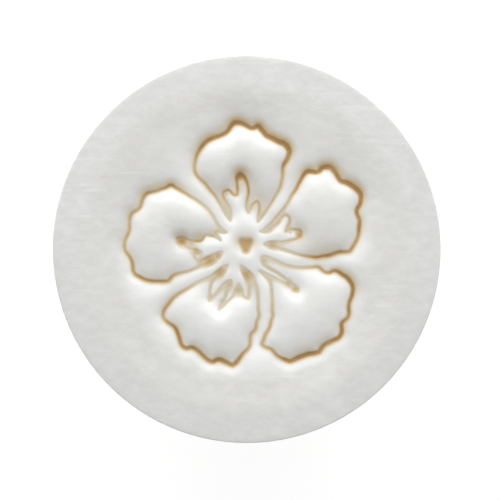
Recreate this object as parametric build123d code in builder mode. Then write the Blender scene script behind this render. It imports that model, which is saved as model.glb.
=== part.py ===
from build123d import *
import os

# Clay stamp standing on the flat end of its handle, face up. The origin is the middle of that end, +Z is up,
# and the top of the flower's picture points to +Y. All lengths are in millimetres.

# Head: a disc of fired clay with a boss on its back
face_diameter = 50.0
face_edge_radius = 0.15
rim_height = 6.0
back_edge_radius = 1.0
back_rise = 1.0
boss_diameter = 24.0
boss_edge_break = 0.6
cove_radius = 3.5
clay_over_socket = 2.6

# Flower lines in the face, and the brown slip laid in them
line_width = 0.40
line_depth = 0.60
slip_thickness = 0.25
dot_corner_radius = 0.35

# Blind insert, bedded in the socket of the boss
insert_diameter = 9.0
insert_end_wall = 1.0
insert_mouth_chamfer = 0.5
cement_thickness = 0.6

# Cushion ring, in a recess of the boss
cushion_outer_diameter = 18.0
cushion_inner_diameter = 10.5
cushion_thickness = 2.0
cushion_edge_break = 0.3
recess_depth = 1.2
recess_clearance = 0.3

# Stud with a wood thread below and a machine thread above
thread_diameter = 6.0
thread_pitch = 1.0
thread_clearance = 0.05
head_travel_turns = 8
last_engagement = 1.0
stud_end_gap = 0.5
wood_thread_length = 20.0
stud_tip_length = 4.0
stud_tip_diameter = 1.2
neck_diameter = 4.6
neck_length = 2.4
stud_end_chamfer = 0.8

# Turned handle with a tenon
foot_diameter = 29.0
knob_diameter = 39.0
knob_height = 12.5
waist_diameter = 18.5
waist_height = 36.0
collar_height = 44.0
collar_overhang = 1.35
collar_land = 1.2
collar_break = 0.5
turned_line_width = 0.9
turned_line_depth = 0.5
turned_line_spacing = 2.2
tenon_diameter = 20.0
tenon_length = 9.5
tenon_chamfer = 0.4

# Ferrule: a drawn cup on the tenon, held by three pins
ferrule_wall = 0.8
ferrule_edge_radius = 0.7
ferrule_bead_radius = 0.55
pin_count = 3
pin_diameter = 1.3
pin_length = 4.2
pin_head_diameter = 2.4
pin_head_height = 0.7

# Fits and cuts
hairline = 0.05
overrun = 1.0

# Outlines, read in pixels off the face picture, where the face is this wide and has this middle.
# Each petal is a list of smooth runs. A run ends where the next one starts, and the last ends at the first.
face_width_px = 388
face_centre_px = (246.2, 248.6)
top_petal_px = [
    [(229.5, 220), (224, 212), (219, 203), (214, 194.5), (209, 189), (204.5, 183), (200, 179),
     (196, 174.5), (194, 169), (194, 164.5), (195, 159.5), (196.5, 154.5), (199, 150), (202.5, 145),
     (206, 141.5), (210, 139), (215, 137), (220, 135), (225, 132.5), (228.5, 129), (231, 125.5),
     (234, 123), (238, 122.5), (243, 124), (247, 126), (250.5, 127.5), (254.5, 127), (257, 126),
     (259.5, 128), (262.5, 131.5), (265, 134.5), (269.5, 137), (274.5, 139.5), (279.5, 142),
     (284, 144), (286.5, 146.5), (288.5, 150.5), (288, 154.5), (286, 159.5), (283.5, 163.5),
     (282, 168.5), (282, 174.5), (281, 181), (279, 188.5), (275.5, 194.5), (272, 200.5),
     (268.5, 206), (264.5, 212), (261, 217)],
    [(257.5, 221), (258, 214.5), (259, 207), (258.5, 203)],
    [(256, 200.5), (253, 203), (250.5, 207)],
    [(248, 212), (246, 208), (246.5, 199.5), (248, 192), (247.5, 186), (246, 181), (243, 176)],
    [(239.5, 174), (236.5, 177), (236.5, 183), (237, 189)],
    [(236.5, 194), (233, 194), (229.5, 190.5)],
    [(225.5, 190), (222.5, 193), (223.5, 198), (227, 204), (229.5, 209), (230.5, 214.5)],
]
right_petal_px = [
    [(260.3, 231), (269, 225), (273.5, 219.5), (278.5, 214), (283, 208.5), (286, 204.5), (289, 199.5),
     (292, 194), (295.5, 189.5), (298.5, 183.5), (301.5, 178), (304.5, 173.5), (307.5, 171.5),
     (311.5, 171.5), (316, 172), (319, 171), (322, 168), (325.5, 167), (329, 167), (333, 170),
     (335.5, 173.5), (338, 177.5), (340.5, 180.5), (344.5, 182), (349, 184), (353.5, 187),
     (357.5, 190.5), (360, 194), (360.5, 198.5), (359.5, 204), (357, 208.5), (356.5, 212),
     (357.5, 215.5), (359, 219.5), (359, 224), (358.5, 229.5), (358, 235), (356, 240.5),
     (353.5, 245), (351, 249)],
    [(350, 250.5), (345.5, 251.5), (340, 251.5), (334.5, 253), (328.5, 255), (322, 256), (316, 257),
     (310, 256.5), (303.5, 255.5), (297, 254), (290.5, 252), (285.5, 250.5), (280, 249),
     (273.5, 247), (269, 245.5)],
    [(264, 244), (269, 242.5), (277.5, 242), (283.5, 241.5), (290, 240), (295.5, 238.5), (298.5, 236.5)],
    [(300.5, 233.5), (299.5, 230.5), (296, 229.5), (290.5, 229)],
    [(285.5, 231), (287, 227), (288.5, 223.5), (289.5, 220.5), (289, 217)],
    [(287, 215), (283, 215.5), (280.5, 218.5), (277, 223.5), (272, 227.5), (267.5, 231), (263.5, 231.5)],
]
lower_right_petal_px = [
    [(259, 270.5), (264.5, 272.8), (270, 275.6), (276, 278.5), (281, 281), (286, 284), (291, 287.3)],
    [(297, 291.5), (294.8, 286.5), (291, 283.2), (286, 279.5), (280.5, 275.5), (274.5, 271.5),
     (268.5, 268.5), (263.5, 265), (261, 261), (262, 256.5), (266, 256.5), (271, 258.5), (276, 260.5),
     (281, 263), (286, 265), (292, 266.5), (299.5, 267.5), (308, 267.5), (313.5, 267), (318, 267),
     (321, 269.5), (324.5, 272), (329.5, 272.5), (333.5, 271), (337, 271.5), (341, 274),
     (345.5, 277), (348.5, 280), (351, 283.5), (352.5, 288), (352.5, 291), (351.5, 296),
     (349.5, 301), (348.5, 305.5), (348.5, 309.5), (348.5, 314.5), (346.5, 318.5), (343.5, 321),
     (341.5, 323.5), (341.5, 328.5), (341, 333.5), (338.5, 337.5), (333.5, 340), (328.5, 342.5),
     (323.5, 345.5), (321, 348.5)],
    [(319, 351.5), (314.5, 353), (308, 354), (302, 356), (297, 358), (293, 360), (289.5, 361),
     (285.5, 360), (280.5, 358), (276, 355), (273.5, 352), (271, 349.5), (266, 347.5)],
    [(261.5, 344), (263.5, 339.5), (265.5, 334.5), (268.5, 329.5), (270, 325.5), (271, 320.5),
     (272.5, 316), (272, 311), (272, 303.5), (271.5, 296), (271, 289.5), (270, 284.5),
     (267.5, 279.5), (263.5, 275)],
]
lower_left_petal_px = [
    [(226.5, 265), (221, 269), (216, 273), (210.5, 276), (204.5, 278.5), (198.5, 281.5), (193, 284.5),
     (187, 288.5), (181, 292), (176, 295.5), (172, 299), (168.5, 303.5), (164.5, 308.5),
     (162.5, 313), (162.5, 317), (165.5, 321), (169.5, 324), (173.5, 327), (176, 331), (178, 336),
     (179.5, 341), (181.5, 345.5), (185.5, 348), (190.5, 347.5), (195.5, 349.5), (199.5, 353),
     (203.5, 357), (208, 360.5), (212, 361.5), (216, 360), (218.5, 359.5), (223, 361), (228, 363.5)],
    [(232, 365), (235.5, 362.5), (239.5, 357.5), (243.5, 352.5), (247.5, 348.5), (249.5, 343.5),
     (249.5, 338), (251, 333.5), (254, 330.5), (255.5, 325.5), (256.5, 320.5), (258.5, 317),
     (258, 311), (258, 304.5), (258, 298), (257.5, 291), (256, 285.5), (253.5, 279.5),
     (250.5, 274.5), (246, 270.5)],
    [(240.5, 266), (243, 271.5), (246, 276.5), (248, 282), (248.5, 288), (248, 293.5)],
    [(247.5, 298.5), (242.5, 295), (240, 290)],
    [(238, 284), (236.2, 289.5), (233.5, 294.2), (230, 298), (226, 301.5), (222.5, 305.5)],
    [(218.5, 309.5), (221, 304.3), (224, 299.5), (226, 295), (226.8, 290), (228, 285)],
    [(230, 280.5), (225, 283), (221, 286), (217, 291), (213, 296)],
    [(209, 300.5), (209, 295.5), (209.5, 289.5), (211, 284), (214, 279.5), (219, 275.5), (223, 270.8)],
]
left_petal_px = [
    [(225.8, 231.8), (220.8, 228), (217, 223.5), (213.5, 217), (210.5, 212.5), (206, 207.5),
     (200.5, 203), (194.5, 199), (188.5, 195.5), (183.5, 192.5), (178.5, 189.5), (174, 187),
     (170, 185), (166, 187), (160.5, 189), (155.5, 191), (150.5, 192), (146, 193.5), (143.5, 196),
     (141.5, 200.5), (140, 205.5), (137.5, 209), (133.5, 211.5), (130.5, 214.5), (129, 218.5),
     (128.5, 223.5), (128.5, 229.5), (127, 234.5), (124.5, 239.5), (123.5, 244.5), (124, 249.5),
     (127, 254.5), (130, 259), (131.5, 263.5), (132, 268.5), (134, 273.5), (138.5, 276.5),
     (143.5, 279), (149.5, 280.5), (157, 281), (164.5, 281), (168, 280), (171, 276.5),
     (175.5, 274), (181, 272.5), (188, 271), (194.5, 268.5), (201, 266), (208, 263.5),
     (213.5, 260.5), (218.5, 256)],
    [(221, 251.5), (216, 253.5), (210.5, 256.2), (204.5, 259.3), (199.5, 260.8), (195.8, 259)],
    [(193.5, 255), (196.5, 253.8)],
    [(200, 252), (194, 250), (190.5, 248.8), (185.5, 246.5), (180, 243.3)],
    [(176.5, 238), (181, 237.5), (186, 239), (191, 240.5), (197, 241), (201, 240), (203, 237),
     (205, 235), (209, 235.2), (213.5, 236.2), (217, 237.8)],
    [(219.8, 239.8), (217.8, 236.2), (215.8, 233.8)],
    [(214.6, 232), (218, 231.5), (222, 232.2)],
]
petals_px = [top_petal_px, right_petal_px, lower_right_petal_px, lower_left_petal_px, left_petal_px]
dot_px = [(236.8, 238), (253.8, 238.3), (245.3, 255.3)]

# Heights along the axis, worked out from the sizes above
tenon_top = collar_height + tenon_length
ferrule_top = tenon_top + ferrule_wall
cushion_top = ferrule_top + cushion_thickness
head_seat = cushion_top - recess_depth
stud_top = cushion_top + head_travel_turns * thread_pitch + last_engagement
stud_neck_top = ferrule_top
stud_neck_bottom = stud_neck_top - neck_length
stud_bottom = stud_neck_bottom - wood_thread_length
bore_top = stud_top + stud_end_gap
insert_top = bore_top + insert_end_wall
bed_top = insert_top + hairline
cement_top = bed_top + cement_thickness
socket_top = cement_top + hairline
face_height = socket_top + clay_over_socket
line_floor = face_height - line_depth
back_height = face_height - rim_height
cove_top = back_height - back_rise
boss_top = cove_top - cove_radius
pin_height = collar_height + tenon_length / 2

# Radii
face_radius = face_diameter / 2
boss_radius = boss_diameter / 2
insert_radius = insert_diameter / 2
cement_inner_radius = insert_radius + hairline
cement_outer_radius = cement_inner_radius + cement_thickness
socket_radius = cement_outer_radius + hairline
cushion_outer_radius = cushion_outer_diameter / 2
cushion_inner_radius = cushion_inner_diameter / 2
recess_radius = cushion_outer_radius + recess_clearance
thread_radius = thread_diameter / 2
bore_radius = thread_radius + thread_clearance
stud_hole_radius = thread_radius + hairline
tenon_radius = tenon_diameter / 2
ferrule_inner_radius = tenon_radius + hairline
ferrule_outer_radius = ferrule_inner_radius + ferrule_wall
collar_radius = ferrule_outer_radius + collar_overhang
knob_radius = knob_diameter / 2
foot_radius = foot_diameter / 2
waist_radius = waist_diameter / 2
pin_radius = pin_diameter / 2
pin_hole_radius = pin_radius + hairline
pin_head_radius = pin_head_diameter / 2


# A pixel of the face picture as a point of the face
def face_point(pixel):
    scale = face_diameter / face_width_px
    return ((pixel[0] - face_centre_px[0]) * scale, (face_centre_px[1] - pixel[1]) * scale)


# The area that a petal's line goes round
def petal_area(runs):
    with BuildSketch() as area:
        with BuildLine():
            for run, next_run in zip(runs, runs[1:] + runs[:1]):
                Spline(*[face_point(pixel) for pixel in run + next_run[:1]])
        make_face()
    return area.sketch


# A closed line of even width that follows the edge of an area, its two sides drawn as plain splines
def line_round(area, width):
    outer = offset(area, amount=width / 2, kind=Kind.ARC)
    inner = offset(area, amount=-width / 2, kind=Kind.ARC)
    return outer.to_splines() - inner.to_splines()


# The three-cornered dot in the middle of the flower
with BuildSketch() as dot:
    with BuildLine():
        Polyline(*[face_point(pixel) for pixel in dot_px], close=True)
    make_face()
    fillet(dot.vertices(), dot_corner_radius)

# The lines as they are cut, and the slip in them, which stops a hairline short of their walls
petal_areas = [petal_area(runs) for runs in petals_px]
cut_lines = [line_round(area, line_width) for area in petal_areas]
slip_lines = [line_round(area, line_width - 2 * hairline) for area in petal_areas]
dot_cut = dot.sketch
dot_slip = offset(dot_cut, amount=-hairline)

# Stamp head: turned blank with the recess and the socket, then the flower cut into its face
with BuildPart() as stamp_head:
    with BuildSketch(Plane.XZ):
        with BuildLine():
            cove_start = (boss_radius, boss_top)
            cove_end = (boss_radius + cove_radius, cove_top)
            Polyline(
                (0, face_height),
                (0, socket_top),
                (socket_radius, socket_top),
                (socket_radius, cushion_top),
                (recess_radius, cushion_top),
                (recess_radius, head_seat),
                (boss_radius - boss_edge_break, head_seat),
                (boss_radius, head_seat + boss_edge_break),
                cove_start,
            )
            RadiusArc(cove_start, cove_end, cove_radius)
            Polyline(cove_end, (face_radius, back_height), (face_radius, face_height), (0, face_height))
        make_face()
    revolve(axis=Axis.Z)
    rim_edges = stamp_head.edges().filter_by(GeomType.CIRCLE).group_by(SortBy.RADIUS)[-1]
    fillet(rim_edges.sort_by(Axis.Z)[0], back_edge_radius)
    rim_edges = stamp_head.edges().filter_by(GeomType.CIRCLE).group_by(SortBy.RADIUS)[-1]
    fillet(rim_edges.sort_by(Axis.Z)[-1], face_edge_radius)
    with BuildSketch(Plane.XY.offset(line_floor)):
        add(cut_lines)
        add(dot_cut)
    extrude(amount=line_depth + overrun, mode=Mode.SUBTRACT)
stamp_head.part.label = "stamp_head"

# Brown slip in the petal lines
with BuildPart() as flower_line_inlay:
    with BuildSketch(Plane.XY.offset(line_floor)):
        add(slip_lines)
    extrude(amount=slip_thickness)
flower_line_inlay.part.label = "flower_line_inlay"

# Brown slip in the middle dot
with BuildPart() as centre_dot_inlay:
    with BuildSketch(Plane.XY.offset(line_floor)):
        add(dot_slip)
    extrude(amount=slip_thickness)
centre_dot_inlay.part.label = "centre_dot_inlay"

# Bed of cement round and over the insert
with BuildPart() as socket_cement:
    with BuildSketch(Plane.XY.offset(cushion_top)):
        Circle(cement_outer_radius)
    extrude(amount=cement_top - cushion_top)
    with BuildSketch(Plane.XY.offset(cushion_top)):
        Circle(cement_inner_radius)
    extrude(amount=bed_top - cushion_top, mode=Mode.SUBTRACT)
socket_cement.part.label = "socket_cement"

# Blind insert with a countersunk mouth
with BuildPart() as threaded_insert:
    with BuildSketch(Plane.XY.offset(cushion_top)):
        Circle(insert_radius)
    extrude(amount=insert_top - cushion_top)
    with BuildSketch(Plane.XY.offset(cushion_top)):
        Circle(bore_radius)
    extrude(amount=bore_top - cushion_top, mode=Mode.SUBTRACT)
    mouth = threaded_insert.faces().sort_by(Axis.Z)[0].inner_wires()[0].edges()
    chamfer(mouth, insert_mouth_chamfer)
threaded_insert.part.label = "threaded_insert"

# Cushion ring between the ferrule and the floor of the recess
with BuildPart() as cushion_ring:
    with BuildSketch(Plane.XY.offset(ferrule_top)):
        Circle(cushion_outer_radius)
        Circle(cushion_inner_radius, mode=Mode.SUBTRACT)
    extrude(amount=cushion_thickness)
    outer_edges = cushion_ring.edges().filter_by(GeomType.CIRCLE).sort_by(SortBy.RADIUS)[-2:]
    chamfer(outer_edges, cushion_edge_break)
cushion_ring.part.label = "cushion_ring"

# Stud: tip, wood thread, neck and machine thread, at the threads' full diameter
with BuildPart() as stud:
    with BuildSketch(Plane.XZ):
        with BuildLine():
            Polyline(
                (0, stud_bottom),
                (stud_tip_diameter / 2, stud_bottom),
                (thread_radius, stud_bottom + stud_tip_length),
                (thread_radius, stud_neck_bottom),
                (neck_diameter / 2, stud_neck_bottom),
                (neck_diameter / 2, stud_neck_top),
                (thread_radius, stud_neck_top),
                (thread_radius, stud_top - stud_end_chamfer),
                (thread_radius - stud_end_chamfer, stud_top),
                (0, stud_top),
                (0, stud_bottom),
            )
        make_face()
    revolve(axis=Axis.Z)
stud.part.label = "stud"

# Ferrule: cup with a rounded top edge, a beaded mouth, the stud's hole and the pins' holes
with BuildPart() as ferrule:
    with BuildSketch(Plane.XY.offset(collar_height)):
        Circle(ferrule_outer_radius)
    extrude(amount=ferrule_top - collar_height)
    fillet(ferrule.faces().sort_by(Axis.Z)[-1].edges(), ferrule_edge_radius)
    with BuildSketch(Plane.XZ):
        with Locations((ferrule_outer_radius, collar_height + ferrule_bead_radius)):
            Circle(ferrule_bead_radius)
    revolve(axis=Axis.Z)
    with BuildSketch(Plane.XY.offset(collar_height)):
        Circle(ferrule_inner_radius)
    extrude(amount=tenon_length, mode=Mode.SUBTRACT)
    with BuildSketch(Plane.XY.offset(tenon_top)):
        Circle(stud_hole_radius)
    extrude(amount=ferrule_wall + overrun, mode=Mode.SUBTRACT)
    with Locations((0, 0, pin_height)):
        with PolarLocations(ferrule_outer_radius + overrun, pin_count):
            Cylinder(pin_hole_radius, ferrule_wall + 2 * overrun, rotation=(0, -90, 0),
                     align=(Align.CENTER, Align.CENTER, Align.MIN), mode=Mode.SUBTRACT)
ferrule.part.label = "ferrule"

# One pin with a domed head, then three of them round the ferrule
with BuildPart() as one_pin:
    with BuildSketch(Plane.XZ):
        with BuildLine():
            dome_radius = (pin_head_radius**2 + pin_head_height**2) / (2 * pin_head_height)
            head_rim = (ferrule_outer_radius, pin_height + pin_head_radius)
            head_top = (ferrule_outer_radius + pin_head_height, pin_height)
            RadiusArc(head_rim, head_top, dome_radius)
            Polyline(
                head_top,
                (ferrule_outer_radius - pin_length, pin_height),
                (ferrule_outer_radius - pin_length, pin_height + pin_radius),
                (ferrule_outer_radius, pin_height + pin_radius),
                head_rim,
            )
        make_face()
    revolve(axis=Axis((0, 0, pin_height), (1, 0, 0)))
with BuildPart() as ferrule_pins:
    with PolarLocations(0, pin_count):
        add(one_pin.part)
ferrule_pins.part.label = "ferrule_pins"

# Turned handle: foot, knob with two scribed lines, waist, collar and tenon, bored for the stud and the pins
with BuildPart() as handle:
    with BuildSketch(Plane.XZ):
        with BuildLine():
            belly = (knob_radius, knob_height)
            waist = (waist_radius, waist_height)
            collar_edge = (collar_radius, collar_height - collar_break - collar_land)
            Line((0, 0), (foot_radius, 0))
            Spline((foot_radius, 0), belly, tangents=[(1, 0), (0, 1)])
            Spline(belly, waist, tangents=[(0, 1), (0, 1)])
            Spline(waist, collar_edge, tangents=[(0, 1), (1, 1)])
            Polyline(
                collar_edge,
                (collar_radius, collar_height - collar_break),
                (collar_radius - collar_break, collar_height),
                (tenon_radius, collar_height),
                (tenon_radius, tenon_top - tenon_chamfer),
                (tenon_radius - tenon_chamfer, tenon_top),
                (0, tenon_top),
                (0, 0),
            )
        make_face()
    revolve(axis=Axis.Z)
    with BuildSketch(Plane.XZ):
        for line_height in (knob_height - turned_line_spacing / 2, knob_height + turned_line_spacing / 2):
            with BuildLine():
                Polyline(
                    (knob_radius - turned_line_depth, line_height),
                    (knob_radius, line_height + turned_line_width / 2),
                    (knob_radius + overrun, line_height + turned_line_width / 2),
                    (knob_radius + overrun, line_height - turned_line_width / 2),
                    (knob_radius, line_height - turned_line_width / 2),
                    close=True,
                )
            make_face()
    revolve(axis=Axis.Z, mode=Mode.SUBTRACT)
    with BuildSketch(Plane.XZ):
        with BuildLine():
            Polyline(
                (0, stud_bottom - hairline),
                (stud_tip_diameter / 2 + hairline, stud_bottom - hairline),
                (stud_hole_radius, stud_bottom + stud_tip_length),
                (stud_hole_radius, tenon_top + overrun),
                (0, tenon_top + overrun),
                close=True,
            )
        make_face()
    revolve(axis=Axis.Z, mode=Mode.SUBTRACT)
    with Locations((0, 0, pin_height)):
        with PolarLocations(ferrule_outer_radius, pin_count):
            Cylinder(pin_hole_radius, pin_length + hairline, rotation=(0, -90, 0),
                     align=(Align.CENTER, Align.CENTER, Align.MIN), mode=Mode.SUBTRACT)
handle.part.label = "handle"

os.makedirs("parts", exist_ok=True)
export_step(stamp_head.part, "parts/stamp_head.step")
export_step(flower_line_inlay.part, "parts/flower_line_inlay.step")
export_step(centre_dot_inlay.part, "parts/centre_dot_inlay.step")
export_step(socket_cement.part, "parts/socket_cement.step")
export_step(threaded_insert.part, "parts/threaded_insert.step")
export_step(cushion_ring.part, "parts/cushion_ring.step")
export_step(stud.part, "parts/stud.step")
export_step(ferrule.part, "parts/ferrule.step")
export_step(ferrule_pins.part, "parts/ferrule_pins.step")
export_step(handle.part, "parts/handle.step")
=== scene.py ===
import math

import bmesh
import bpy
import numpy as np
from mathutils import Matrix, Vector
from mathutils.geometry import delaunay_2d_cdt


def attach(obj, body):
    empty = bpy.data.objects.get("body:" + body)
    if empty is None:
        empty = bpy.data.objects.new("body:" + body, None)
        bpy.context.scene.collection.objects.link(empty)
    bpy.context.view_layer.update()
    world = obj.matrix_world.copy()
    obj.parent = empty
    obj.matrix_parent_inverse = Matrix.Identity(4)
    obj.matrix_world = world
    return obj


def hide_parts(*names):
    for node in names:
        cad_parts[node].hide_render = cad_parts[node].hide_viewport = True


# A clay stamp that stands on its handle with its face up, seen from straight above. Sizes are in millimetres and
# are the real object's own, as in the CAD model. Meshes are made in metres, in the same frame.

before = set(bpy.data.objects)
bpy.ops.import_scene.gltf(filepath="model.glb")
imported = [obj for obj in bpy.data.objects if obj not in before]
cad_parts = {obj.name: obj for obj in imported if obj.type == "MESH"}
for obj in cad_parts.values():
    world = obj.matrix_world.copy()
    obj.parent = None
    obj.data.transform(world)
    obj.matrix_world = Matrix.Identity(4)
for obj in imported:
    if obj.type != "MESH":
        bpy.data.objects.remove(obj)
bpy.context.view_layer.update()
MM = 0.001

# Head
FACE_RADIUS = 25.0
FACE_EDGE = 0.15
FACE_Z = 70.1
BACK_Z = 64.1
BACK_EDGE = 1.0
BACK_RISE = 1.0
HEAD_SEAT = 55.1
BOSS_RADIUS = 12.0
BOSS_TOP = 59.6
BOSS_EDGE = 0.6
COVE_RADIUS = 3.5
RECESS_RADIUS = 9.3
RECESS_EDGE = 0.2
SOCKET_RADIUS = 5.2
SOCKET_TOP = 67.5
HEAD_SEGMENTS = 288

# Cushion, cement and insert
FERRULE_TOP = 54.3
CUSHION_TOP = 56.3
CUSHION_OUTER = 9.0
CUSHION_INNER = 5.25
CUSHION_EDGE = 0.3
CUSHION_BORE_EDGE = 0.12
CEMENT_OUTER = 5.15
CEMENT_INNER = 4.55
CEMENT_TOP = 67.45
CEMENT_EDGE = 0.15
INSERT_RADIUS = 4.5
INSERT_TOP = 66.8
INSERT_TOP_EDGE = 0.2
INSERT_FOOT_EDGE = 0.15
KNURL_DEPTH = 0.1
KNURL_COUNT = 40
KNURL_MARGIN = 0.6
BORE_RADIUS = 3.05
BORE_TOP = 65.8
BORE_CHAMFER = 0.5

# Stud
THREAD_RADIUS = 3.0
THREAD_PITCH = 1.0
THREAD_DEPTH = 0.55
THREAD_CREST = 0.14
THREAD_FLANKS = 0.72
THREAD_SEGMENTS = 64
THREAD_ROW = THREAD_PITCH / 16
NECK_RADIUS = 2.3
NECK_BOTTOM = 51.9
STUD_BOTTOM = 31.9
STUD_TOP = 65.3
STUD_CHAMFER = 0.8
TIP_RADIUS = 0.6
TIP_LENGTH = 4.0
WOOD_PITCH = 2.5
WOOD_ROW = WOOD_PITCH / 20
WOOD_THREAD_DEPTH = 0.75

# Handle and ferrule
FOOT_RADIUS = 14.5
KNOB_RADIUS = 19.5
KNOB_Z = 12.5
WAIST_RADIUS = 9.25
WAIST_Z = 36.0
COLLAR_RADIUS = 12.2
COLLAR_Z = 44.0
COLLAR_BREAK = 0.5
COLLAR_LAND = 1.2
LINE_DEPTH = 0.5
LINE_WIDTH = 0.9
LINE_SPACING = 2.2
LINE_LIP = 0.12
TENON_RADIUS = 10.0
TENON_TOP = 53.5
TENON_CHAMFER = 0.4
FERRULE_INNER = 10.05
FERRULE_OUTER = 10.85
FERRULE_EDGE = 0.7
FERRULE_HOLE = 3.05
FERRULE_HOLE_EDGE = 0.2
BEAD_RADIUS = 0.55
PIN_Z = 48.75
PIN_COUNT = 3
PIN_LENGTH = 4.2
PIN_RADIUS = 0.65
PIN_HEAD_RADIUS = 1.2
PIN_HEAD_HEIGHT = 0.7
HAIRLINE = 0.05

# Photograph: 500 by 500 pixels, the face 388 pixels across with its middle at (246.7, 249.1)
PHOTO_PX = 500
FACE_PX = 388
FACE_CENTRE_PX = (246.7, 249.1)
LENS = 100.0
SENSOR = 36.0
CLIP_START = 0.01


def srgb(red, green, blue):
    """An 8-bit screen colour as linear values."""
    def linear(value):
        value /= 255
        return value / 12.92 if value <= 0.04045 else ((value + 0.055) / 1.055) ** 2.4
    return (linear(red), linear(green), linear(blue), 1.0)


# -------------------------------- camera
px_mm = 2 * FACE_RADIUS / FACE_PX
camera_height = PHOTO_PX * px_mm * LENS / SENSOR
camera_data = bpy.data.cameras.new("camera")
camera_data.lens = LENS
camera_data.sensor_width = SENSOR
camera_data.clip_start = CLIP_START
camera = bpy.data.objects.new("camera", camera_data)
camera.location = (
    (PHOTO_PX / 2 - FACE_CENTRE_PX[0]) * px_mm * MM,
    (FACE_CENTRE_PX[1] - PHOTO_PX / 2) * px_mm * MM,
    (FACE_Z + camera_height) * MM,
)
bpy.context.scene.collection.objects.link(camera)
bpy.context.scene.camera = camera
bpy.context.scene.view_settings.view_transform = "Standard"


# -------------------------------- shader helpers
def new_material(name):
    """An empty material, its node tree and its object coordinates in metres."""
    material = bpy.data.materials.new(name)
    material.use_nodes = True
    tree = material.node_tree
    tree.nodes.clear()
    return material, tree, add_node(tree, "TexCoord").outputs["Object"]


def add_node(tree, kind, inputs=None, **settings):
    """Adds a node. inputs holds values and sockets by name or index: sockets are linked and values are set."""
    made = tree.nodes.new("ShaderNode" + kind)
    for key, value in settings.items():
        setattr(made, key, value)
    for key, value in (inputs or {}).items():
        if isinstance(value, bpy.types.NodeSocket):
            tree.links.new(value, made.inputs[key])
        else:
            made.inputs[key].default_value = value
    return made


def math_node(tree, operation, *values, clamp=False):
    return add_node(tree, "Math", dict(enumerate(values)), operation=operation, use_clamp=clamp).outputs[0]


def times(tree, first, second):
    return math_node(tree, "MULTIPLY", first, second)


def vector_node(tree, operation, inputs, output="Vector"):
    return add_node(tree, "VectorMath", inputs, operation=operation).outputs[output]


def mix_colour(tree, share, first, second):
    return add_node(tree, "Mix", {0: share, 6: first, 7: second}, data_type="RGBA").outputs[2]


def noise(tree, vector, scale, detail=3.0, roughness=0.5):
    """Noise about 0.5. On object coordinates the scale is in waves to the metre."""
    inputs = {"Vector": vector, "Scale": scale, "Detail": detail, "Roughness": roughness}
    return add_node(tree, "TexNoise", inputs).outputs["Fac"]


def stretch(tree, vector, scale=(1, 1, 1), turn=(0, 0, 0)):
    return add_node(tree, "Mapping", {"Vector": vector, "Scale": scale, "Rotation": turn}).outputs[0]


def stretched_noise(tree, vector, scale, detail, roughness=0.5, turn=(0, 0, 0)):
    """Noise with its own number of waves to the metre along each axis."""
    return noise(tree, stretch(tree, vector, scale, turn), 1.0, detail, roughness)


def remap(tree, value, low, high, to_low=0.0, to_high=1.0):
    """The value between low and high, brought to the range from to_low to to_high and held to it."""
    return add_node(tree, "MapRange", {0: value, 1: low, 2: high, 3: to_low, 4: to_high}).outputs[0]


def bump(tree, height, distance):
    return add_node(tree, "Bump", {"Height": height, "Distance": distance}).outputs[0]


def point_value(tree, name):
    """The mesh's own value of this name."""
    return add_node(tree, "Attribute", attribute_name=name).outputs["Fac"]


def background_share(tree):
    """1 for rays that show the background, straight, in a gloss or through glass, and 0 for rays of light."""
    path = add_node(tree, "LightPath")
    seen = math_node(tree, "MAXIMUM", path.outputs["Is Camera Ray"], path.outputs["Is Glossy Ray"])
    return math_node(tree, "MAXIMUM", seen, path.outputs["Is Transmission Ray"])


def finish_material(material, **inputs):
    """Puts the shader and its output in place. Input names are the shader's own, with _ for a space."""
    tree = material.node_tree
    shader = add_node(tree, "BsdfPrincipled", {key.replace("_", " "): value for key, value in inputs.items()})
    add_node(tree, "OutputMaterial", {"Surface": shader.outputs[0]})
    return material


# -------------------------------- materials
CLAY = srgb(222, 222, 220)
CLAY_DARK = srgb(220, 220, 218)
CLAY_LIGHT = srgb(225, 225, 224)
# Smears, and paler clay that is in part painted highlight
CLAY_PALE_AND_HIGHLIGHT = srgb(250, 251, 251)
CLAY_GREY = srgb(210, 210, 207)
# Painted shade beside the tongues
CLAY_PAINTED_SHADE = srgb(186, 183, 180)
CLAY_SPECK = srgb(206, 203, 197)
HALO = srgb(209, 199, 177)
TAN = srgb(191, 164, 119)
BROWN = srgb(158, 122, 74)
CEMENT_DARK = srgb(203, 199, 189)
CEMENT_LIGHT = srgb(231, 227, 217)
RUBBER = srgb(38, 37, 36)
RUBBER_DUST = srgb(98, 95, 90)
BRASS_BRIGHT = srgb(214, 184, 122)
BRASS_DULL = srgb(172, 144, 92)
STEEL_BRIGHT = srgb(196, 198, 202)
STEEL_DULL = srgb(158, 160, 163)
BEECH_DARK = srgb(202, 163, 116)
BEECH_LIGHT = srgb(218, 184, 140)
BEECH_LATE = srgb(160, 114, 70)
BEECH_FIBRE = srgb(176, 130, 86)
BEECH_RAY = srgb(126, 82, 48)
BEECH_BURN = srgb(72, 42, 22)
BEECH_GRIME = srgb(134, 92, 56)
PAPER_DARK = srgb(236, 236, 235)
PAPER_LIGHT = srgb(250, 250, 249)
WHITE = (1, 1, 1, 1)

SMEAR_TURN = (0, 0, math.radians(38))
BEECH_TILT = (math.radians(5), math.radians(-4), 0)
BEECH_BEND = 0.006
PITH_X = -0.052
PITH_Y = -0.021
LAYERS_TO_THE_METRE = 430.0


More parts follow.
